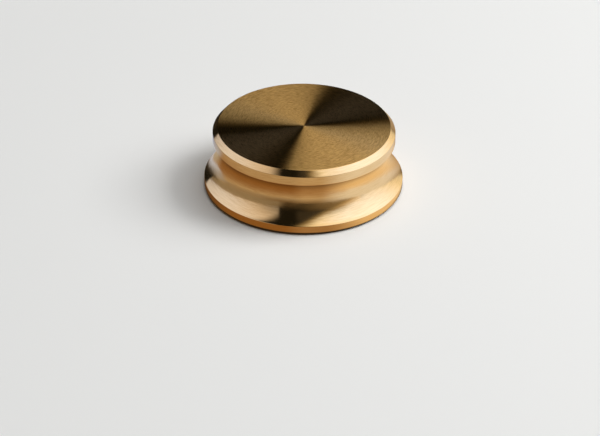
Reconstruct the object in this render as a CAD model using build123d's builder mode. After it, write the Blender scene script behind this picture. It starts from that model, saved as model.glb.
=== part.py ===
from build123d import *
import os

# Record weight: a solid brass puck that stands on a record's label, over the turntable's spindle.
# It is turned from one piece of bar. Going up from the flat seat, its section has an upright rim, a hollow
# waist, a narrow ledge, an upright band and a wide chamfer that leads to the flat top.
# The origin is the centre of the seat, +Z is up, and lengths are in millimetres.

# Driving dimensions of the whole weight
total_height = 25.9
base_diameter = 80.0
edge_break = 0.25  # radius on every outer corner above the seat

# Driving dimensions of the foot
rim_height = 3.4
seat_chamfer = 0.6

# Driving dimension of the waist: how deep the curve is hollowed below the straight line between its ends
waist_depth = 2.9

# Driving dimensions of the head
band_diameter = 73.0
band_height = 3.8
ledge_width = 1.0
top_chamfer_width = 1.9
top_chamfer_height = 2.2

# Driving dimensions of the spindle bore
spindle_diameter = 7.1
spindle_clearance = 0.1  # between the spindle and the bore's wall, on each side
crown_thickness = 7.9  # solid metal between the bore's end and the top face
bore_mouth_chamfer = 0.8

# Radii and heights that follow from them
base_radius = base_diameter / 2
band_radius = band_diameter / 2
ledge_radius = band_radius - ledge_width
top_radius = band_radius - top_chamfer_width
band_top = total_height - top_chamfer_height
band_bottom = band_top - band_height
bore_radius = spindle_diameter / 2 + spindle_clearance
bore_depth = total_height - crown_thickness

with BuildPart() as record_weight:
    # Half of the section, from the axis out to the rim and back over the head
    with BuildSketch(Plane.XZ) as section:
        with BuildLine():
            foot = Polyline((0, 0), (base_radius, 0), (base_radius, rim_height))
            waist = SagittaArc(foot @ 1, (ledge_radius, band_bottom), waist_depth)
            Polyline(
                waist @ 1,
                (band_radius, band_bottom),
                (band_radius, band_top),
                (top_radius, total_height),
                (0, total_height),
                foot @ 0,
            )
        make_face()

        # The outer corners above the seat are broken by a small round, and only the one inside, where the waist
        # runs into the ledge, stays as sharp as the tool leaves it
        corners = section.vertices().filter_by(lambda corner: corner.X > 0 and corner.Y > 0)
        outer_corners = corners.sort_by_distance(waist @ 1)[1:]
        fillet(outer_corners, radius=edge_break)

        # The seat's outer corner is chamfered, so that it can't nick a label
        seat_corner = section.vertices().group_by(Axis.Y)[0].sort_by(Axis.X)[-1]
        chamfer(seat_corner, length=seat_chamfer)
    revolve(axis=Axis.Z)

    # The blind bore goes up from the middle of the seat
    seat = record_weight.faces().sort_by(Axis.Z)[0]
    with Locations(seat):
        Hole(radius=bore_radius, depth=bore_depth)

    # A lead-in round the bore's mouth guides the spindle
    bore_mouth = record_weight.edges().filter_by(Plane.XY).group_by(Axis.Z)[0].sort_by(SortBy.LENGTH)[0]
    chamfer(bore_mouth, length=bore_mouth_chamfer)

record_weight.part.label = "record_weight"

os.makedirs("parts", exist_ok=True)
export_step(record_weight.part, "parts/record_weight.step")
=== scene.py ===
"""A turned brass record weight: its lathe-cut body, its brass finishes and the studio that it stands in."""

import logging
import math
from collections.abc import Iterator
from dataclasses import dataclass
from enum import Enum
from typing import Any, ClassVar, Self

import bpy
from mathutils import Matrix, Vector


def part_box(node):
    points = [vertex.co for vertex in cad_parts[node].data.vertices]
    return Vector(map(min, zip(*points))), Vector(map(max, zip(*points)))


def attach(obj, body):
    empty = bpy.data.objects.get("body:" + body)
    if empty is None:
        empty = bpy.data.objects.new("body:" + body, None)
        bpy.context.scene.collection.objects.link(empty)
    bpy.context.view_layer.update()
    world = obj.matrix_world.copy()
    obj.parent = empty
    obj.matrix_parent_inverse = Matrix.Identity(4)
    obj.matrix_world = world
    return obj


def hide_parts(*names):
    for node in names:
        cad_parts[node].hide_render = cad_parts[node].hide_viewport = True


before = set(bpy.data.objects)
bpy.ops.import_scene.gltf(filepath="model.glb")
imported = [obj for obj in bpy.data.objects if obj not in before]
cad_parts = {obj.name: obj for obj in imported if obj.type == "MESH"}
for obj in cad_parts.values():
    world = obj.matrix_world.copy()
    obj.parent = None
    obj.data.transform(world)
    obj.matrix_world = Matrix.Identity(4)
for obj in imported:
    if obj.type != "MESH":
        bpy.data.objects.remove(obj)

LOG = logging.getLogger("record_weight")
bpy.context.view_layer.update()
CAD_NODE = "record_weight"
BODY = "root"

IMAGE_WIDTH = 600
IMAGE_HEIGHT = 436
MILLIMETRE = 0.001

# The lathe writes these attributes on the mesh, and the finishes read them
RUN = "run"
CUT = "cut"
OUTWARD = "outward"
# Painted shade: the darkening of the inside corner under the ledge, where shade falls
PAINTED_SHADE = "painted_shade"

# Where a face of the section points, in degrees
FACING_IN = -180.0
FACING_DOWN = -90.0
FACING_OUT = 0.0
FACING_UP = 90.0

Socket = bpy.types.NodeSocket
Colour = tuple[float, float, float]
Direction = tuple[float, float]  # azimuth from +X and elevation, in degrees
Span = tuple[float, float]  # where something starts to show, and where it is full


class Cut(Enum):
    """The kinds of surface that the tools leave, numbered as the mesh's attribute stores them."""

    POLISHED_SIDE = 0
    FACED_TOP = 1
    FACED_SEAT = 2
    DRILLED_BORE = 3


class Wiring:
    """Adds nodes to one node tree and wires them up."""

    def __init__(self, tree: bpy.types.NodeTree) -> None:
        """Keeps the tree that the nodes go into."""
        self.tree = tree

    def feed(self, socket: Socket, value: Any) -> None:
        """Gives a socket its value.

        Args:
            socket: The input to set.
            value: Another node's output, which is linked, or a constant.
        """
        if isinstance(value, Socket):
            self.tree.links.new(value, socket)
        elif socket.type == "RGBA":
            socket.default_value = (*value, 1.0)
        else:
            socket.default_value = value

    def node(
        self, kind: str, inputs: dict[str | int, Any] | None = None, **settings: Any
    ) -> bpy.types.Node:
        """Adds a node.

        Args:
            kind: The node's type name in Blender.
            inputs: Values for its inputs, by socket name or number.
            **settings: Values for its own properties, set first.

        Returns:
            The new node.
        """
        node = self.tree.nodes.new(kind)
        for name, value in settings.items():
            setattr(node, name, value)
        for key, value in (inputs or {}).items():
            self.feed(node.inputs[key], value)
        return node

    def number(self, operation: str, *values: Any) -> Socket:
        """Adds a Math node.

        Args:
            operation: The node's operation.
            *values: Its inputs, in order.

        Returns:
            The result's socket.
        """
        return self.node("ShaderNodeMath", dict(enumerate(values)), operation=operation).outputs[0]

    def vector(self, operation: str, *values: Any) -> Socket:
        """Adds a Vector Math node that gives a vector.

        Args:
            operation: The node's operation.
            *values: Its vector inputs, in order.

        Returns:
            The result's socket.
        """
        return self.node("ShaderNodeVectorMath", dict(enumerate(values)), operation=operation).outputs[0]

    def dot(self, first: Any, second: Any) -> Socket:
        """Adds a Vector Math node that gives the dot product of two vectors."""
        node = self.node("ShaderNodeVectorMath", {0: first, 1: second}, operation="DOT_PRODUCT")
        return node.outputs["Value"]

    def length(self, vector: Any) -> Socket:
        """Adds a Vector Math node that gives a vector's length."""
        return self.node("ShaderNodeVectorMath", {0: vector}, operation="LENGTH").outputs["Value"]

    def scaled(self, vector: Any, factor: Any) -> Socket:
        """Adds a Vector Math node that scales a vector.

        Args:
            vector: The vector to scale.
            factor: What it is multiplied by.

        Returns:
            The scaled vector's socket.
        """
        inputs = {"Vector": vector, "Scale": factor}
        return self.node("ShaderNodeVectorMath", inputs, operation="SCALE").outputs[0]

    def mix(self, factor: Any, first: Any, second: Any) -> Socket:
        """Adds a node that mixes two colours.

        Args:
            factor: The second colour's share.
            first: One colour.
            second: The other colour.

        Returns:
            The mixed colour's socket.
        """
        node = self.node("ShaderNodeMix", {"Factor": factor}, data_type="RGBA")
        sockets = [socket for socket in node.inputs if socket.type == "RGBA"]
        for socket, colour in zip(sockets, (first, second)):
            self.feed(socket, colour)
        return next(socket for socket in node.outputs if socket.type == "RGBA")

    def ramp(self, value: Any, low: float, high: float, start: float = 0.0, end: float = 1.0) -> Socket:
        """Adds a smooth step from one value to another.

        Args:
            value: What is tested.
            low: Where the step starts, which may be above its end.
            high: Where the step ends.
            start: The result before the step.
            end: The result after it.

        Returns:
            The result's socket.
        """
        inputs = {"Value": value, "From Min": low, "From Max": high, "To Min": start, "To Max": end}
        return self.node("ShaderNodeMapRange", inputs, interpolation_type="SMOOTHSTEP").outputs["Result"]

    def around(self, ray: Any, middle: Vector, angles: Span) -> Socket:
        """Adds a mask that is full close to a direction and fades away from it.

        Args:
            ray: The unit vector that is tested.
            middle: The direction in the middle of the mask.
            angles: Degrees from the middle at which the mask starts and is full.

        Returns:
            The mask's socket.
        """
        start, full = (math.cos(math.radians(angle)) for angle in angles)
        return self.ramp(self.dot(ray, middle), start, full)


def blank_material(name: str) -> tuple[bpy.types.Material, Wiring]:
    """Makes a material that has no nodes yet.

    Args:
        name: The material's name.

    Returns:
        The material, and the wiring for its nodes.
    """
    material = bpy.data.materials.new(name)
    material.use_nodes = True
    material.node_tree.nodes.clear()
    return material, Wiring(material.node_tree)


def linked(name: str, data: bpy.types.ID) -> bpy.types.Object:
    """Makes an object at the origin and puts it in the scene.

    Args:
        name: The object's name.
        data: Its mesh, light or camera.

    Returns:
        The new object.
    """
    thing = bpy.data.objects.new(name, data)
    bpy.context.scene.collection.objects.link(thing)
    return thing


def flat_face(name: str, corners: list[Vector], material: bpy.types.Material) -> bpy.types.Object:
    """Makes an object of one flat face.

    Args:
        name: The object's name.
        corners: The corners of the face, in order.
        material: What it is dressed with.

    Returns:
        The new object.
    """
    mesh = bpy.data.meshes.new(name)
    mesh.from_pydata(corners, [], [range(len(corners))])
    mesh.materials.append(material)
    return linked(name, mesh)


def show_in_brass_only(thing: bpy.types.Object) -> None:
    """Hides a part of the stage from everything but the brass, which mirrors it.

    Args:
        thing: The part to hide.
    """
    thing.visible_camera = False
    thing.visible_diffuse = False
    thing.visible_shadow = False


def heading(azimuth: float, elevation: float = 0.0) -> Vector:
    """The unit vector towards a direction seen from the weight.

    Args:
        azimuth: Degrees from +X, towards +Y.
        elevation: Degrees above the horizon.

    Returns:
        The direction.
    """
    turn, lift = math.radians(azimuth), math.radians(elevation)
    return Vector((math.cos(lift) * math.cos(turn), math.cos(lift) * math.sin(turn), math.sin(lift)))


def normal_at(angle: float) -> Vector:
    """The section's outward normal at an angle in degrees, from 0 outwards to 90 upwards."""
    return Vector((math.cos(math.radians(angle)), math.sin(math.radians(angle))))


class TurnedGrooves:
    """The shader group for what a tool leaves: slopes across fine rings and short strokes along them."""

    NAME = "turned_grooves"
    VECTORS = ("Position", "Normal")
    VALUES = ("Run", "Scatter", "Stroke Slope", "Stroke Width", "Strokes Round")
    STROKE_DETAIL = 3.0
    STROKE_STARTS = 0.38
    STROKE_FULL = 0.68
    STROKE_MIDDLE = 0.5

    @classmethod
    def group(cls) -> bpy.types.NodeTree:
        """The group, with a Normal and a Streak mask as its outputs, built when a finish first needs it."""
        return bpy.data.node_groups.get(cls.NAME) or cls._build()

    @classmethod
    def _build(cls) -> bpy.types.NodeTree:
        """Wires the group.

        Returns:
            The new group.
        """
        tree = bpy.data.node_groups.new(cls.NAME, "ShaderNodeTree")
        for name in cls.VECTORS:
            tree.interface.new_socket(name, in_out="INPUT", socket_type="NodeSocketVector")
        for name in cls.VALUES:
            tree.interface.new_socket(name, in_out="INPUT", socket_type="NodeSocketFloat")
        tree.interface.new_socket("Normal", in_out="OUTPUT", socket_type="NodeSocketVector")
        tree.interface.new_socket("Streak", in_out="OUTPUT", socket_type="NodeSocketFloat")

        wiring = Wiring(tree)
        given = wiring.node("NodeGroupInput").outputs
        flat = wiring.vector("MULTIPLY", given["Position"], (1.0, 1.0, 0.0))
        spoke = wiring.vector("NORMALIZE", flat)
        ring = wiring.vector("CROSS_PRODUCT", (0.0, 0.0, 1.0), spoke)
        across = wiring.vector("CROSS_PRODUCT", ring, given["Normal"])

        # Rings far finer than a pixel: each point has a slope of its own, across the rings only
        first = wiring.node("ShaderNodeTexWhiteNoise", {"Vector": given["Position"]}).outputs["Value"]
        second = wiring.node("ShaderNodeTexWhiteNoise", {"W": first}, noise_dimensions="1D").outputs["Value"]
        scatter = wiring.number("MULTIPLY", wiring.number("SUBTRACT", first, second), given["Scatter"])

        # Strokes that can be seen, each a short way along its ring
        rings = wiring.number("DIVIDE", given["Run"], given["Stroke Width"])
        place = wiring.node("ShaderNodeCombineXYZ", {"Z": rings}).outputs[0]
        place = wiring.vector("ADD", wiring.scaled(spoke, given["Strokes Round"]), place)
        noise = wiring.node(
            "ShaderNodeTexNoise", {"Vector": place, "Scale": 1.0, "Detail": cls.STROKE_DETAIL}
        )
        streak = wiring.ramp(noise.outputs["Fac"], cls.STROKE_STARTS, cls.STROKE_FULL)
        stroke = wiring.number("SUBTRACT", streak, cls.STROKE_MIDDLE)
        stroke = wiring.number("MULTIPLY", stroke, given["Stroke Slope"])

        tilt = wiring.scaled(across, wiring.number("ADD", scatter, stroke))
        normal = wiring.vector("NORMALIZE", wiring.vector("ADD", given["Normal"], tilt))
        wiring.node("NodeGroupOutput", {"Normal": normal, "Streak": streak})
        return tree


BRIGHT_BRASS: Colour = (0.88, 0.63, 0.34)
WORN_BRASS: Colour = (0.72, 0.46, 0.20)


@dataclass(frozen=True, kw_only=True)
class TurnedBrass:
    """A brass surface as one of the tools leaves it.

    Attributes:
        name: The material's name.
        bright: The colour of clean metal.
        tarnished: The colour in a stroke.
        tarnish: How strongly the strokes show it.
        roughness: The middle of the roughness.
        roughness_spread: How far the strokes move it, up and down.
        anisotropy: How much more the shine spreads across the rings than along them.
        scatter: The range of slopes on rings too fine to see.
        stroke_slope: The range of slopes on the strokes.
        stroke_width: How wide a stroke is.
        strokes_round: How many strokes fit in one radian of a ring.
        sheen: The share of the broad shine that makes a bow tie on a flat face.
    """

    name: str
    bright: Colour = BRIGHT_BRASS
    tarnished: Colour = WORN_BRASS
    tarnish: float
    roughness: float
    roughness_spread: float
    anisotropy: float
    scatter: float
    stroke_slope: float
    stroke_width: float
    strokes_round: float
    sheen: float = 0.0

    CLOUD_SCALE: ClassVar[float] = 90.0
    CLOUD_DETAIL: ClassVar[float] = 4.0
    CLOUD_SHARE: ClassVar[float] = 0.2
    SMOOTHEST_STREAK: ClassVar[float] = 0.3
    ROUGHEST_STREAK: ClassVar[float] = 0.7
    QUARTER_TURN: ClassVar[float] = 0.25
    EVEN_BLEND: ClassVar[float] = 0.5
    SHEEN_ROUGHNESS: ClassVar[float] = 0.276
    SHEEN_ANISOTROPY: ClassVar[float] = -0.84
    GRAZING_POWER: ClassVar[float] = 5.0
    GRAZING_TONE: ClassVar[Colour] = (1.0, 0.88, 0.60)
    # Painted shade in the inside corner under the ledge: how much of it shows, and its dark tone
    PAINTED_SHADE_SHARE: ClassVar[float] = 0.68
    PAINTED_SHADE_TONE: ClassVar[Colour] = (0.09, 0.055, 0.025)

    def material(self) -> bpy.types.Material:
        """Builds the material.

        Returns:
            The finished material.
        """
        material, wiring = blank_material(self.name)
        position = wiring.node("ShaderNodeTexCoord").outputs["Object"]
        inputs = {
            "Position": position,
            "Normal": wiring.node("ShaderNodeNewGeometry").outputs["Normal"],
            "Run": wiring.node("ShaderNodeAttribute", attribute_name=RUN).outputs["Fac"],
            "Scatter": self.scatter,
            "Stroke Slope": self.stroke_slope,
            "Stroke Width": self.stroke_width,
            "Strokes Round": self.strokes_round,
        }
        grooves = wiring.node("ShaderNodeGroup", inputs, node_tree=TurnedGrooves.group())
        streak = grooves.outputs["Streak"]
        tone = self._tone(wiring, position, streak)
        smooth, rough = self.roughness - self.roughness_spread, self.roughness + self.roughness_spread
        tangent = wiring.node("ShaderNodeTangent", direction_type="RADIAL", axis="Z").outputs["Tangent"]
        brass = wiring.node(
            "ShaderNodeBsdfPrincipled",
            {
                "Base Color": tone,
                "Metallic": 1.0,
                "Roughness": wiring.ramp(streak, self.SMOOTHEST_STREAK, self.ROUGHEST_STREAK, smooth, rough),
                "Anisotropic": self.anisotropy,
                "Anisotropic Rotation": self.QUARTER_TURN,
                "Tangent": tangent,
                "Normal": grooves.outputs["Normal"],
            },
        )
        surface = brass.outputs["BSDF"]
        if self.sheen:
            sheen = self._sheen(wiring, tone, tangent)
            both = wiring.node("ShaderNodeMixShader", {0: self.sheen, 1: surface, 2: sheen})
            surface = both.outputs["Shader"]
        wiring.node("ShaderNodeOutputMaterial", {"Surface": surface})
        return material

    def _tone(self, wiring: Wiring, position: Socket, streak: Socket) -> Socket:
        """Colours the metal: tarnish in the strokes and in soft clouds, and painted shade in the inside
        corner under the ledge.

        Args:
            wiring: The material's wiring.
            position: The place on the weight.
            streak: The mask of the strokes.

        Returns:
            The colour.
        """
        inputs = {"Vector": position, "Scale": self.CLOUD_SCALE, "Detail": self.CLOUD_DETAIL}
        cloud = wiring.node("ShaderNodeTexNoise", inputs).outputs["Fac"]
        cloud = wiring.number("MULTIPLY", cloud, self.CLOUD_SHARE)
        stain = wiring.number("MULTIPLY_ADD", streak, 1.0 - self.CLOUD_SHARE, cloud)
        tone = wiring.mix(wiring.number("MULTIPLY", stain, self.tarnish), self.bright, self.tarnished)
        # Painted shade, darkest in the inside corner under the ledge
        painted_shade = wiring.node("ShaderNodeAttribute", attribute_name=PAINTED_SHADE).outputs["Fac"]
        return wiring.mix(wiring.number("MULTIPLY", painted_shade, self.PAINTED_SHADE_SHARE), tone, self.PAINTED_SHADE_TONE)

    def _sheen(self, wiring: Wiring, tone: Socket, tangent: Socket) -> Socket:
        """Adds the broad shine across the rings, which is paler where the face is seen at a low angle.

        Args:
            wiring: The material's wiring.
            tone: The metal's colour.
            tangent: The direction of the rings.

        Returns:
            The shine.
        """
        facing = wiring.node("ShaderNodeLayerWeight", {"Blend": self.EVEN_BLEND}).outputs["Facing"]
        grazing = wiring.number("POWER", facing, self.GRAZING_POWER)
        inputs = {
            "Color": wiring.mix(grazing, tone, self.GRAZING_TONE),
            "Roughness": self.SHEEN_ROUGHNESS,
            "Anisotropy": self.SHEEN_ANISOTROPY,
            "Rotation": self.QUARTER_TURN,
            "Tangent": tangent,
        }
        return wiring.node("ShaderNodeBsdfAnisotropic", inputs, distribution="BECKMANN").outputs["BSDF"]


FINISHES: dict[Cut, TurnedBrass] = {
    Cut.POLISHED_SIDE: TurnedBrass(
        name="polished_side",
        tarnish=0.4,
        roughness=0.12,
        roughness_spread=0.02,
        anisotropy=0.75,
        scatter=0.0,
        stroke_slope=0.03,
        stroke_width=0.25 * MILLIMETRE,
        strokes_round=8.0,
    ),
    Cut.FACED_TOP: TurnedBrass(
        name="faced_top",
        bright=(0.89, 0.603, 0.283),
        tarnished=(0.370, 0.227, 0.087),
        tarnish=1.0,
        roughness=0.17,
        roughness_spread=0.02,
        anisotropy=1.0,
        scatter=0.66,
        stroke_slope=0.04,
        stroke_width=0.17 * MILLIMETRE,
        strokes_round=14.0,
        sheen=0.7,
    ),
    Cut.FACED_SEAT: TurnedBrass(
        name="faced_seat",
        tarnish=0.7,
        roughness=0.28,
        roughness_spread=0.04,
        anisotropy=0.9,
        scatter=0.20,
        stroke_slope=0.20,
        stroke_width=0.6 * MILLIMETRE,
        strokes_round=6.0,
    ),
    Cut.DRILLED_BORE: TurnedBrass(
        name="drilled_bore",
        tarnish=0.9,
        roughness=0.34,
        roughness_spread=0.05,
        anisotropy=0.6,
        scatter=0.10,
        stroke_slope=0.25,
        stroke_width=0.5 * MILLIMETRE,
        strokes_round=4.0,
    ),
}


@dataclass(frozen=True)
class Bend:
    """A tangent arc of the section: convex where its radius is positive, hollow where it is negative.

    Attributes:
        centre: The arc's centre, as radius and height.
        radius: The arc's radius.
        start: The angle of its first normal, in degrees.
        end: The angle of its last normal.
        cut: The surface on the arc.
        onward: The surface on the straight run that follows.
    """

    centre: Vector
    radius: float
    start: float
    end: float
    cut: Cut
    onward: Cut

    STEP: ClassVar[float] = 4.0  # degrees between two points on it
    FEWEST_STEPS: ClassVar[int] = 2

    @classmethod
    def at_corner(
        cls, corner: tuple[float, float], radius: float, start: float, end: float, cut: Cut, onward: Cut
    ) -> Self:
        """Rounds the corner between two straight runs.

        Args:
            corner: Radius and height where the runs would meet.
            radius: The round's radius, negative at an inside corner.
            start: The angle of the first run's normal, in degrees.
            end: The angle of the second run's normal.
            cut: The surface on the round.
            onward: The surface on the run that follows.

        Returns:
            The round.
        """
        first, second = normal_at(start), normal_at(end)
        centre = Vector(corner) - (first + second) * (radius / (1.0 + first.dot(second)))
        return cls(centre, radius, start, end, cut, onward)

    def points(self) -> Iterator[tuple[Vector, Vector]]:
        """Walks along the arc.

        Yields:
            A point of the arc and its outward normal.
        """
        count = max(self.FEWEST_STEPS, math.ceil(abs(self.end - self.start) / self.STEP))
        for step in range(count + 1):
            normal = normal_at(self.start + (self.end - self.start) * step / count)
            yield self.centre + normal * self.radius, normal


@dataclass(frozen=True)
class SectionPoint:
    """A point of the section: its place, its outward normal and the surface between it and the next point."""

    place: Vector
    normal: Vector
    cut: Cut


class Lathe(Wiring):
    """The Geometry Nodes tree that turns a section about Z.

    It rolls up a flat grid, which has a row for each point of the section and a column for each step round Z.
    """

    SECTION = "Section"
    STEPS_ROUND = "Steps Round"
    TURNED = "Turned"
    GRID_SIZE = 1.0
    MERGE_DISTANCE = 0.001 * MILLIMETRE

    def __init__(self) -> None:
        """Makes the tree's sockets and its grid, and finds the angle and the step at each grid point."""
        super().__init__(bpy.data.node_groups.new("lathe", "GeometryNodeTree"))
        sockets = self.tree.interface
        sockets.new_socket(self.SECTION, in_out="INPUT", socket_type="NodeSocketGeometry")
        sockets.new_socket(self.STEPS_ROUND, in_out="INPUT", socket_type="NodeSocketInt")
        sockets.new_socket(self.TURNED, in_out="OUTPUT", socket_type="NodeSocketGeometry")

        given = self.node("NodeGroupInput").outputs
        self.section = given[self.SECTION]
        size = self.node("GeometryNodeAttributeDomainSize", {"Geometry": self.section}, component="MESH")
        count = size.outputs["Point Count"]
        grid = {
            "Size X": self.GRID_SIZE,
            "Size Y": self.GRID_SIZE,
            "Vertices X": self.number("ADD", given[self.STEPS_ROUND], 1.0),
            "Vertices Y": count,
        }
        self.grid = self.node("GeometryNodeMeshGrid", grid).outputs["Mesh"]

        self.place = self.node("GeometryNodeInputPosition").outputs["Position"]
        flat = self.node("ShaderNodeSeparateXYZ", {"Vector": self.place}).outputs
        column = self.number("ADD", flat["X"], self.GRID_SIZE / 2)
        self.angle = self.number("MULTIPLY", column, math.tau)
        row = self.number("ADD", flat["Y"], self.GRID_SIZE / 2)
        self.step = self.number("MULTIPLY", row, self.number("SUBTRACT", count, 1.0))

    def named(self, name: str, kind: str) -> Socket:
        """An attribute's value, by its name and type."""
        node = self.node("GeometryNodeInputNamedAttribute", {"Name": name}, data_type=kind)
        return node.outputs["Attribute"]

    def taken(self, value: Socket, kind: str, nearest: str = "ROUND") -> Socket:
        """The section's value at the grid's step, which is rounded as named."""
        inputs = {"Geometry": self.section, "Value": value, "Index": self.number(nearest, self.step)}
        return self.node("GeometryNodeSampleIndex", inputs, data_type=kind).outputs["Value"]

    def turned(self, vector: Socket) -> Socket:
        """The vector, turned about Z to its place round the weight."""
        inputs = {"Vector": vector, "Angle": self.angle}
        return self.node("ShaderNodeVectorRotate", inputs, rotation_type="Z_AXIS").outputs["Vector"]

    def stored(self, mesh: Socket, name: str, kind: str, value: Socket, domain: str = "POINT") -> Socket:
        """The mesh with a named attribute written on it, as one value for each point or face."""
        inputs = {"Geometry": mesh, "Name": name, "Value": value}
        return self.node("GeometryNodeStoreNamedAttribute", inputs, data_type=kind, domain=domain).outputs[0]

    def wired(self, materials: dict[Cut, bpy.types.Material]) -> bpy.types.NodeTree:
        """Wires the turning, and the dressing of each kind of surface.

        Args:
            materials: The material for each kind of surface.

        Returns:
            The finished tree.
        """
        mesh = self.grid
        # Carries the run and the painted shade of the inside corner to each point
        for name in (RUN, PAINTED_SHADE):
            mesh = self.stored(mesh, name, "FLOAT", self.taken(self.named(name, "FLOAT"), "FLOAT"))
        mesh = self.stored(mesh, CUT, "INT", self.taken(self.named(CUT, "INT"), "INT", "FLOOR"), "FACE")
        outward = self.turned(self.taken(self.named(OUTWARD, "FLOAT_VECTOR"), "FLOAT_VECTOR"))
        mesh = self.stored(mesh, OUTWARD, "FLOAT_VECTOR", outward)

        rolled = {"Geometry": mesh, "Position": self.turned(self.taken(self.place, "FLOAT_VECTOR"))}
        mesh = self.node("GeometryNodeSetPosition", rolled).outputs[0]
        joined = {"Geometry": mesh, "Distance": self.MERGE_DISTANCE}
        mesh = self.node("GeometryNodeMergeByDistance", joined).outputs[0]
        mesh = self.node("GeometryNodeSetShadeSmooth", {"Geometry": mesh}).outputs[0]
        exact = {"Mesh": mesh, "Custom Normal": self.named(OUTWARD, "FLOAT_VECTOR")}
        mesh = self.node("GeometryNodeSetMeshNormal", exact, mode="FREE", domain="POINT").outputs[0]
        mesh = self.node("GeometryNodeRemoveAttribute", {"Geometry": mesh, "Name": OUTWARD}).outputs[0]
        mesh = self.node("GeometryNodeRealizeInstances", {"Geometry": mesh}).outputs[0]
        for cut, material in materials.items():
            # The node's inputs 2 and 3 are the whole numbers that it compares
            numbers = {2: self.named(CUT, "INT"), 3: cut.value}
            chosen = self.node("FunctionNodeCompare", numbers, data_type="INT", operation="EQUAL")
            inputs = {"Geometry": mesh, "Selection": chosen.outputs["Result"], "Material": material}
            mesh = self.node("GeometryNodeSetMaterial", inputs).outputs[0]
        self.node("NodeGroupOutput", {self.TURNED: mesh})
        return self.tree


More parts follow.
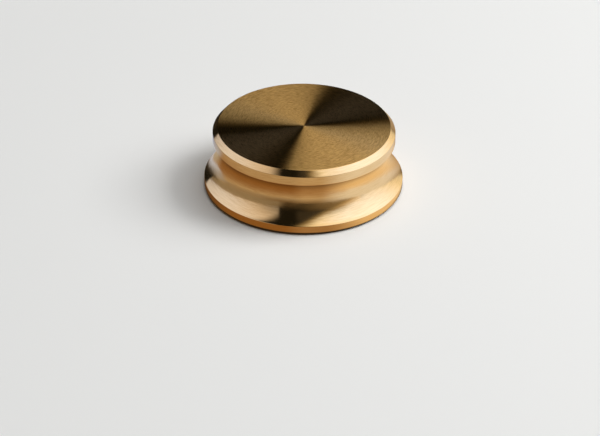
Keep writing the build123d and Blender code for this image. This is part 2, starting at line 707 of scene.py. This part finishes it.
@dataclass
class RecordWeight:
    """The weight, turned in one piece: a rim, a hollow waist, a ledge, a band, a chamfer and a flat top."""

    base_radius: float
    total_height: float
    rim_height: float = 3.4 * MILLIMETRE
    seat_chamfer: float = 0.6 * MILLIMETRE
    waist_depth: float = 2.9 * MILLIMETRE
    band_radius: float = 36.5 * MILLIMETRE
    band_height: float = 3.8 * MILLIMETRE
    ledge_width: float = 1.0 * MILLIMETRE
    top_chamfer_width: float = 1.9 * MILLIMETRE
    top_chamfer_height: float = 2.2 * MILLIMETRE
    bore_radius: float = 3.65 * MILLIMETRE
    bore_depth: float = 18.0 * MILLIMETRE
    bore_mouth_chamfer: float = 0.8 * MILLIMETRE
    edge_break: float = 0.25 * MILLIMETRE
    inside_break: float = 0.1 * MILLIMETRE
    # How far down the waist the painted shade under the ledge reaches
    painted_shade_reach: float = 3.4 * MILLIMETRE
    longest_run: float = 3.0 * MILLIMETRE
    steps_round: int = 360

    @property
    def band_bottom(self) -> float:
        """The height of the ledge under the band."""
        return self.total_height - self.top_chamfer_height - self.band_height

    @property
    def ledge_corner(self) -> Vector:
        """Radius and height of the inside corner where the waist meets the ledge."""
        return Vector((self.band_radius - self.ledge_width, self.band_bottom))

    def waist_circle(self) -> tuple[Vector, float]:
        """Finds the circle that the waist is turned to.

        Returns:
            Its centre, outside the weight, and its radius.
        """
        low, high = Vector((self.base_radius, self.rim_height)), self.ledge_corner
        chord = high - low
        radius = (chord.length_squared / 4.0 + self.waist_depth**2) / (2.0 * self.waist_depth)
        outwards = Vector((chord.y, -chord.x)).normalized()
        return (low + high) / 2.0 + outwards * (radius - self.waist_depth), radius

    def bends(self) -> list[Bend]:
        """Lists the section's arcs from the bore's end, over the seat and up the side, to the top.

        Returns:
            The arcs, which straight runs join.
        """
        side, seat, bore = Cut.POLISHED_SIDE, Cut.FACED_SEAT, Cut.DRILLED_BORE
        edge, inside = self.edge_break, self.inside_break
        mouth_depth = self.bore_mouth_chamfer
        mouth = self.bore_radius + mouth_depth
        lead_in = (FACING_IN + FACING_DOWN) / 2
        seat_radius = self.base_radius - self.seat_chamfer
        seat_slant = (FACING_DOWN + FACING_OUT) / 2
        band_top = self.band_bottom + self.band_height
        top_radius = self.band_radius - self.top_chamfer_width
        slant = math.degrees(math.atan2(self.top_chamfer_width, self.top_chamfer_height))

        # The rounds at the waist's two ends touch its circle, one from outside and one from inside
        hub, sweep = self.waist_circle()
        lip = Vector((self.base_radius - edge, 0.0))
        lip.y = hub.y - math.sqrt((sweep + edge) ** 2 - (hub.x - lip.x) ** 2)
        nook = Vector((0.0, self.band_bottom - inside))
        nook.x = hub.x - math.sqrt((sweep - inside) ** 2 - (nook.y - hub.y) ** 2)
        low = math.degrees(math.atan2(hub.y - lip.y, hub.x - lip.x))
        high = math.degrees(math.atan2(hub.y - nook.y, hub.x - nook.x))

        return [
            Bend.at_corner((self.bore_radius, self.bore_depth), -inside, FACING_DOWN, FACING_IN, bore, bore),
            Bend.at_corner((self.bore_radius, mouth_depth), inside, FACING_IN, lead_in, bore, seat),
            Bend.at_corner((mouth, 0.0), inside, lead_in, FACING_DOWN, seat, seat),
            Bend.at_corner((seat_radius, 0.0), inside, FACING_DOWN, seat_slant, seat, side),
            Bend.at_corner((self.base_radius, self.seat_chamfer), inside, seat_slant, FACING_OUT, side, side),
            Bend(lip, edge, FACING_OUT, low, side, side),
            Bend(hub, -sweep, low, high, side, side),
            Bend(nook, -inside, high, FACING_DOWN, side, side),
            Bend.at_corner((self.band_radius, self.band_bottom), edge, FACING_DOWN, FACING_OUT, side, side),
            Bend.at_corner((self.band_radius, band_top), edge, FACING_OUT, slant, side, side),
            Bend.at_corner((top_radius, self.total_height), edge, slant, FACING_UP, side, Cut.FACED_TOP),
        ]

    def section(self) -> list[SectionPoint]:
        """Draws the section from the axis at the bore's end to the axis at the top.

        Returns:
            Its points, in order.
        """
        bends = self.bends()
        points = [SectionPoint(Vector((0.0, self.bore_depth)), normal_at(FACING_DOWN), bends[0].cut)]
        for bend in bends:
            arc = list(bend.points())
            self._run_to(points, arc[0][0])
            points += [SectionPoint(place, normal, bend.cut) for place, normal in arc[:-1]]
            points.append(SectionPoint(*arc[-1], bend.onward))
        end = Vector((0.0, self.total_height))
        self._run_to(points, end)
        points.append(SectionPoint(end, normal_at(FACING_UP), bends[-1].onward))
        return points

    def _run_to(self, points: list[SectionPoint], end: Vector) -> None:
        """Divides a long straight run into even steps, up to its end but without it.

        Args:
            points: The section so far, which gets the new points.
            end: Where the run ends.
        """
        last = points[-1]
        count = math.ceil((end - last.place).length / self.longest_run)
        for step in range(1, count):
            points.append(SectionPoint(last.place.lerp(end, step / count), last.normal, last.cut))

    def painted_shade_at(self, place: Vector) -> float:
        """How much shade is painted at a place: most in the corner under the ledge, less down the waist.

        Args:
            place: Radius and height.

        Returns:
            The amount, from 0 to 1.
        """
        corner = self.ledge_corner
        if place.x > corner.x:
            return 0.0
        return max(0.0, 1.0 - (place - corner).length / self.painted_shade_reach)

    def section_mesh(self) -> bpy.types.Mesh:
        """Makes the section a chain of edges, with what the lathe needs at each point.

        Returns:
            The mesh, in the XZ plane.
        """
        points = self.section()
        mesh = bpy.data.meshes.new("section")
        places = [(point.place.x, 0.0, point.place.y) for point in points]
        mesh.from_pydata(places, [(first, first + 1) for first in range(len(points) - 1)], [])
        runs = [0.0]
        for first, second in zip(points, points[1:]):
            runs.append(runs[-1] + (second.place - first.place).length)
        # The painted shade at each point, darkest in the inside corner under the ledge
        painted_shades = [self.painted_shade_at(point.place) for point in points]
        cuts = [point.cut.value for point in points]
        for name, kind, values in ((RUN, "FLOAT", runs), (PAINTED_SHADE, "FLOAT", painted_shades), (CUT, "INT", cuts)):
            mesh.attributes.new(name, kind, "POINT").data.foreach_set("value", values)
        normals = [part for point in points for part in (point.normal.x, 0.0, point.normal.y)]
        mesh.attributes.new(OUTWARD, "FLOAT_VECTOR", "POINT").data.foreach_set("vector", normals)
        return mesh

    def build(self) -> bpy.types.Object:
        """Turns the section into the finished piece and puts it on its body.

        Returns:
            The piece.
        """
        blank = linked("blank", self.section_mesh())
        modifier = blank.modifiers.new("lathe", "NODES")
        materials = {cut: finish.material() for cut, finish in FINISHES.items()}
        modifier.node_group = Lathe().wired(materials)
        steps = modifier.node_group.interface.items_tree[Lathe.STEPS_ROUND].identifier
        modifier[steps] = self.steps_round
        depsgraph = bpy.context.evaluated_depsgraph_get()
        mesh = bpy.data.meshes.new_from_object(blank.evaluated_get(depsgraph), depsgraph=depsgraph)
        mesh.name = "turned_weight"
        bpy.data.objects.remove(blank)
        weight = linked("turned_weight", mesh)
        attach(weight, BODY)
        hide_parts(CAD_NODE)
        return weight


@dataclass(frozen=True)
class Tint:
    """A part of a panel with a colour of its own, over a span of angles from its middle."""

    colour: Colour
    towards: Direction
    angles: Span


@dataclass(frozen=True)
class SoftPanel:
    """A glowing panel of the studio, which only the brass mirrors.

    Attributes:
        name: The panel's name.
        faces: The direction of its plane.
        corners: The directions of its corners, seen from the weight.
        softness: Degrees over which each edge fades, from the first corner on.
        glow: Its colour and strength.
        brightest: Where it is strongest.
        falloff: How fast it gets dimmer from there.
        distance: How far away its plane is, in metres.
        edge_glow: The glow on soft edges, where it differs.
        tints: Parts with a colour of their own.
    """

    name: str
    faces: Direction
    corners: tuple[Direction, ...]
    softness: tuple[float, ...]
    glow: Colour
    brightest: Direction
    falloff: float
    distance: float
    edge_glow: Colour | None = None
    tints: tuple[Tint, ...] = ()

    EDGE_SPAN: ClassVar[Span] = (0.05, 0.75)

    def build(self) -> bpy.types.Object:
        """Makes the panel.

        Returns:
            The panel.
        """
        square = heading(*self.faces)
        rays = [heading(*corner) for corner in self.corners]
        corners = [ray * (self.distance / ray.dot(square)) for ray in rays]
        panel = flat_face(self.name, corners, self.material(rays))
        show_in_brass_only(panel)
        return panel

    def material(self, rays: list[Vector]) -> bpy.types.Material:
        """Builds the glow, which fades towards each soft edge.

        Args:
            rays: The directions of the corners.

        Returns:
            The material.
        """
        material, wiring = blank_material(self.name)
        ray = wiring.vector("NORMALIZE", wiring.node("ShaderNodeNewGeometry").outputs["Position"])
        middle = sum(rays, Vector()).normalized()
        fade: Any = 1.0
        for first, second, soft in zip(rays, rays[1:] + rays[:1], self.softness):
            if soft:
                inwards = first.cross(second).normalized()
                inwards *= math.copysign(1.0, inwards.dot(middle))
                edge = wiring.ramp(wiring.dot(ray, inwards), 0.0, math.sin(math.radians(soft)))
                fade = wiring.number("MULTIPLY", fade, edge)
        tone: Any = self.glow
        for tint in self.tints:
            tone = wiring.mix(wiring.around(ray, heading(*tint.towards), tint.angles), tone, tint.colour)
        if self.edge_glow:
            tone = wiring.mix(wiring.ramp(fade, *self.EDGE_SPAN), self.edge_glow, tone)
        level = wiring.number("POWER", wiring.dot(ray, heading(*self.brightest)), self.falloff)
        inputs = {"Color": tone, "Strength": wiring.number("MULTIPLY", level, fade)}
        glow = wiring.node("ShaderNodeEmission", inputs).outputs["Emission"]
        clear = wiring.node("ShaderNodeBsdfTransparent").outputs["BSDF"]
        both = wiring.node("ShaderNodeAddShader", {0: glow, 1: clear}).outputs["Shader"]
        wiring.node("ShaderNodeOutputMaterial", {"Surface": both})
        return material


PANELS: tuple[SoftPanel, ...] = (
    SoftPanel(
        name="left_panel",
        faces=(190.0, 10.0),
        corners=((132.3, 1.5), (243.0, 11.5), (239.5, 49.0), (207.0, 66.0), (128.0, 32.0)),
        softness=(4.0, 3.0, 13.2, 13.0, 2.5),
        glow=(1.00, 0.90, 0.83),
        brightest=(162.0, 40.0),
        falloff=1.4,
        distance=2.5,
        edge_glow=(1.00, 0.85, 0.70),
        tints=(Tint((0.85, 0.90, 1.12), (145.0, 20.0), (69.5, 0.0)),),
    ),
    SoftPanel(
        name="low_wall",
        faces=(190.0, 10.0),
        corners=((133.0, -4.0), (251.0, -4.0), (251.0, 14.0), (133.0, 5.0)),
        softness=(0.0, 14.0, 6.0, 3.0),
        glow=(0.30, 0.25, 0.185),
        brightest=(180.0, 5.0),
        falloff=0.4,
        distance=2.6,
    ),
    SoftPanel(
        name="right_panel",
        faces=(20.0, 35.0),
        corners=((96.0, 44.6), (252.0, 65.2), (283.0, 25.3), (330.0, -10.0), (54.0, -13.7)),
        softness=(1.5, 17.0, 26.5, 0.0, 13.0),
        glow=(1.48, 1.36, 1.05),
        brightest=(1.8, 41.9),
        falloff=0.9,
        distance=0.35,
        edge_glow=(1.38, 1.04, 0.50),
        tints=(
            Tint((1.36, 1.48, 1.80), (352.0, 35.0), (56.6, 0.0)),
            Tint((1.44, 1.24, 0.84), (50.0, 75.0), (41.4, 18.2)),
        ),
    ),
    SoftPanel(
        name="front_wall",
        faces=(290.0, 5.0),
        corners=((238.0, -6.0), (345.0, -6.0), (345.0, 17.0), (238.0, 17.0)),
        softness=(0.0, 4.0, 15.0, 0.0),
        glow=(0.25, 0.185, 0.10),
        brightest=(335.0, 2.0),
        falloff=1.8,
        distance=2.6,
    ),
    SoftPanel(
        name="left_haze",
        faces=(252.0, 5.0),
        corners=((234.0, -8.0), (272.0, -8.0), (272.0, 24.0), (234.0, 24.0)),
        softness=(0.0, 6.0, 8.0, 6.0),
        glow=(0.065, 0.044, 0.022),
        brightest=(252.0, 0.0),
        falloff=45.0,
        distance=2.65,
    ),
    SoftPanel(
        name="front_haze",
        faces=(275.0, 55.0),
        corners=((258.0, 18.0), (310.0, 10.0), (300.0, 80.0), (250.0, 80.0)),
        softness=(12.0, 10.0, 8.0, 8.0),
        glow=(0.032, 0.027, 0.020),
        brightest=(275.0, 55.0),
        falloff=0.5,
        distance=2.7,
    ),
)


@dataclass(frozen=True)
class Patch:
    """A patch of painted light and shade on the mirrored table, with a tone of its own, which lies over the
    parts before it.

    Attributes:
        tone: Its tone.
        towards: The azimuth of its middle, in degrees.
        angles: The span of degrees from there.
        reach: The span of millimetres from the axis.
        edge_towards: The azimuth that its straight edge is square to.
        edge: The span of millimetres from the axis to that edge.
        share: How much it covers of what is below.
        far_tone: Its tone farther out, where it differs.
        far_reach: The span of millimetres over which it takes that tone.
    """

    tone: Colour
    towards: float = 0.0
    angles: Span | None = None
    reach: Span | None = None
    edge_towards: float = 0.0
    edge: Span | None = None
    share: float = 1.0
    far_tone: Colour | None = None
    far_reach: Span | None = None

    def laid_over(self, wiring: Wiring, place: Socket, below: Any) -> Socket:
        """Wires the patch over what is below it.

        Args:
            wiring: The table's wiring.
            place: The point on the table, in millimetres.
            below: The tone below the patch.

        Returns:
            The tone with the patch on it.
        """
        reach = wiring.length(place)
        masks: list[Socket] = []
        if self.angles:
            ray = wiring.vector("NORMALIZE", place)
            masks.append(wiring.around(ray, heading(self.towards), self.angles))
        if self.reach:
            masks.append(wiring.ramp(reach, *self.reach))
        if self.edge:
            masks.append(wiring.ramp(wiring.dot(place, heading(self.edge_towards)), *self.edge))
        cover: Any = self.share
        for mask in masks:
            cover = wiring.number("MULTIPLY", cover, mask)
        tone: Any = self.tone
        if self.far_tone and self.far_reach:
            tone = wiring.mix(wiring.ramp(reach, *self.far_reach), tone, self.far_tone)
        return wiring.mix(cover, below, tone)


LIT_TABLE: Colour = (0.95, 0.75, 0.47)
FRONT_SHADE: Colour = (0.20, 0.14, 0.08)
# Painted deep shade: under the weight, and far out at the rear left
PAINTED_DARK_SHADE: Colour = (0.03, 0.024, 0.016)

TABLE_PATCHES: tuple[Patch, ...] = (
    # The shaded table, darkest close to the weight on the left
    Patch((0.175, 0.085, 0.030), towards=160.0, angles=(69.5, 25.8), reach=(50.0, 42.0)),
    Patch((0.53, 0.425, 0.285), reach=(46.5, 80.0)),
    Patch((0.33, 0.265, 0.19), reach=(73.0, 90.0)),
    Patch(FRONT_SHADE, towards=275.0, angles=(60.0, 25.8), reach=(85.0, 150.0)),
    # The lit side on the right, with a faint glow around it, and the shade that cuts into it in front
    Patch(LIT_TABLE, towards=345.0, angles=(87.1, 72.5), share=0.17),
    Patch(
        LIT_TABLE, towards=345.0, angles=(61.3, 18.2), far_tone=(0.88, 0.88, 0.88), far_reach=(50.0, 64.0)
    ),
    Patch(FRONT_SHADE, towards=275.0, angles=(60.0, 25.8), reach=(85.0, 150.0), share=0.35),
    # The rear left: a warm haze, then a cool field behind a straight edge, then painted dark shade
    Patch((0.54, 0.46, 0.31), towards=135.0, angles=(36.9, 0.0), share=0.75),
    Patch(
        (0.60, 0.68, 0.88),
        towards=125.0,
        angles=(58.0, 41.4),
        reach=(130.0, 70.0),
        edge_towards=137.0,
        edge=(46.4, 49.4),
        far_tone=(0.40, 0.41, 0.47),
        far_reach=(48.0, 68.0),
    ),
    Patch(PAINTED_DARK_SHADE, towards=115.0, angles=(50.2, 27.1), reach=(48.0, 76.0)),
    # No light gets under the weight
    Patch(PAINTED_DARK_SHADE, reach=(41.6, 39.7)),
)


@dataclass(frozen=True)
class MirroredTable:
    """A glowing disc under the weight that only the brass mirrors, painted with the light and shade that a
    lit table would show.
    """

    radius: float = 0.30
    points: int = 96
    # Painted shade close round the weight, which the patches lie over
    painted_contact_shade: Colour = (0.28, 0.135, 0.040)
    patches: tuple[Patch, ...] = TABLE_PATCHES

    def build(self) -> bpy.types.Object:
        """Lays the disc.

        Returns:
            The disc.
        """
        turns = [point / self.points for point in range(self.points)]
        rim = [heading(math.degrees(math.tau * turn)) * self.radius for turn in turns]
        table = flat_face("mirrored_table", rim, self.material())
        show_in_brass_only(table)
        return table

    def material(self) -> bpy.types.Material:
        """Builds the table's glow, painted light and shade laid patch over patch.

        Returns:
            The material.
        """
        material, wiring = blank_material("mirrored_table")
        position = wiring.node("ShaderNodeTexCoord").outputs["Object"]
        place = wiring.scaled(position, 1.0 / MILLIMETRE)
        tone: Any = self.painted_contact_shade
        for patch in self.patches:
            tone = patch.laid_over(wiring, place, tone)
        glow = wiring.node("ShaderNodeEmission", {"Color": tone}).outputs["Emission"]
        wiring.node("ShaderNodeOutputMaterial", {"Surface": glow})
        return material


@dataclass
class Studio:
    """What is around the weight: the pale floor, what the brass mirrors, two soft lights and the world."""

    floor_reach: float = 6.0
    floor_drop: float = 0.5 * MILLIMETRE
    floor_tone: Colour = (0.815, 0.817, 0.807)
    floor_roughness: float = 0.9
    backdrop: Colour = (0.83, 0.83, 0.82)  # the world where the camera sees it
    gloom: Colour = (0.0115, 0.0104, 0.0070)  # the world everywhere else
    fill: float = 1.65
    fill_spread: float = 60.0  # in degrees
    fill_from: Direction = (20.0, 76.0)
    key: float = 17.0
    key_size: float = 0.9
    key_from: Direction = (8.0, 42.0)
    key_distance: float = 1.5

    def build(self) -> None:
        """Sets up the stage around the weight."""
        self.floor()
        MirroredTable().build()
        for panel in PANELS:
            panel.build()
            LOG.info("panel %s", panel.name)
        fill = self.light("fill", "SUN", self.fill, self.fill_from)
        fill.data.angle = math.radians(self.fill_spread)
        key = self.light("key", "AREA", self.key, self.key_from)
        key.data.size = self.key_size
        key.location = heading(*self.key_from) * self.key_distance
        self.world()

    def floor(self) -> bpy.types.Object:
        """Lays the wide pale floor, which the brass doesn't mirror.

        Returns:
            The floor.
        """
        material, wiring = blank_material("pale_floor")
        inputs = {
            "Base Color": self.floor_tone,
            "Roughness": self.floor_roughness,
            "Specular IOR Level": 0.0,
        }
        shader = wiring.node("ShaderNodeBsdfPrincipled", inputs)
        wiring.node("ShaderNodeOutputMaterial", {"Surface": shader.outputs["BSDF"]})
        reach = self.floor_reach
        ends = ((-reach, -reach), (reach, -reach), (reach, reach), (-reach, reach))
        floor = flat_face("floor", [Vector((x, y, -self.floor_drop)) for x, y in ends], material)
        floor.visible_glossy = False
        return floor

    def light(self, name: str, kind: str, energy: float, comes_from: Direction) -> bpy.types.Object:
        """Adds a light that shines on the floor and leaves no image in the brass.

        Args:
            name: The light's name.
            kind: Its type in Blender.
            energy: Its strength.
            comes_from: The direction that it shines from.

        Returns:
            The light, at the origin.
        """
        light = linked(name, bpy.data.lights.new(name, kind))
        light.data.energy = energy
        light.rotation_euler = (-heading(*comes_from)).to_track_quat("-Z", "Y").to_euler()
        light.visible_glossy = False
        return light

    def world(self) -> bpy.types.World:
        """Makes the world pale where the camera sees it and dim everywhere else.

        Returns:
            The world.
        """
        world = bpy.data.worlds.new("studio")
        bpy.context.scene.world = world
        world.use_nodes = True
        world.node_tree.nodes.clear()
        wiring = Wiring(world.node_tree)
        seen = wiring.node("ShaderNodeLightPath").outputs["Is Camera Ray"]
        shader = wiring.node("ShaderNodeBackground", {"Color": wiring.mix(seen, self.gloom, self.backdrop)})
        wiring.node("ShaderNodeOutputWorld", {"Surface": shader.outputs["Background"]})
        return world


@dataclass(frozen=True)
class PortraitCamera:
    """The camera: where it stands round the weight, and where the middle of the seat falls in its picture."""

    focal_length: float = 2407.2  # in pixels
    elevation: float = 32.07
    roll: float = 0.728
    distance: float = 0.973
    seat_pixel: tuple[float, float] = (303.4, 181.2)
    sensor_width: float = 36.0
    clip_start: float = 0.01

    def build(self) -> bpy.types.Object:
        """Makes the camera the scene's own.

        Returns:
            The camera.
        """
        lift, roll = math.radians(self.elevation), math.radians(self.roll)
        ahead = Vector((0.0, math.cos(lift), -math.sin(lift)))
        level, upright = Vector((1.0, 0.0, 0.0)), Vector((0.0, math.sin(lift), math.cos(lift)))
        right = level * math.cos(roll) + upright * math.sin(roll)
        up = upright * math.cos(roll) - level * math.sin(roll)
        scale = self.distance / self.focal_length
        sideways = (self.seat_pixel[0] - IMAGE_WIDTH / 2) * scale
        upwards = (IMAGE_HEIGHT / 2 - self.seat_pixel[1]) * scale
        place = -(ahead * self.distance + right * sideways + up * upwards)

        lens = bpy.data.cameras.new("portrait")
        lens.sensor_width = self.sensor_width
        lens.lens = self.focal_length * self.sensor_width / IMAGE_WIDTH
        lens.clip_start = self.clip_start
        camera = linked("portrait", lens)
        turn = Matrix((right, up, -ahead)).transposed()
        camera.matrix_world = Matrix.Translation(place) @ turn.to_4x4()
        bpy.context.scene.camera = camera
        return camera


def main() -> None:
    """Builds the weight and its studio in order."""
    logging.basicConfig(level=logging.INFO, format="%(message)s")
    bpy.context.scene.view_settings.view_transform = "Standard"
    corner = Vector(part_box(CAD_NODE)[1])
    weight = RecordWeight(base_radius=corner.x, total_height=corner.z).build()
    LOG.info("piece %s: %d faces", weight.name, len(weight.data.polygons))
    Studio().build()
    camera = PortraitCamera().build()
    LOG.info("camera %s: lens %.1f mm", camera.name, camera.data.lens)


if __name__ == "__main__":
    main()
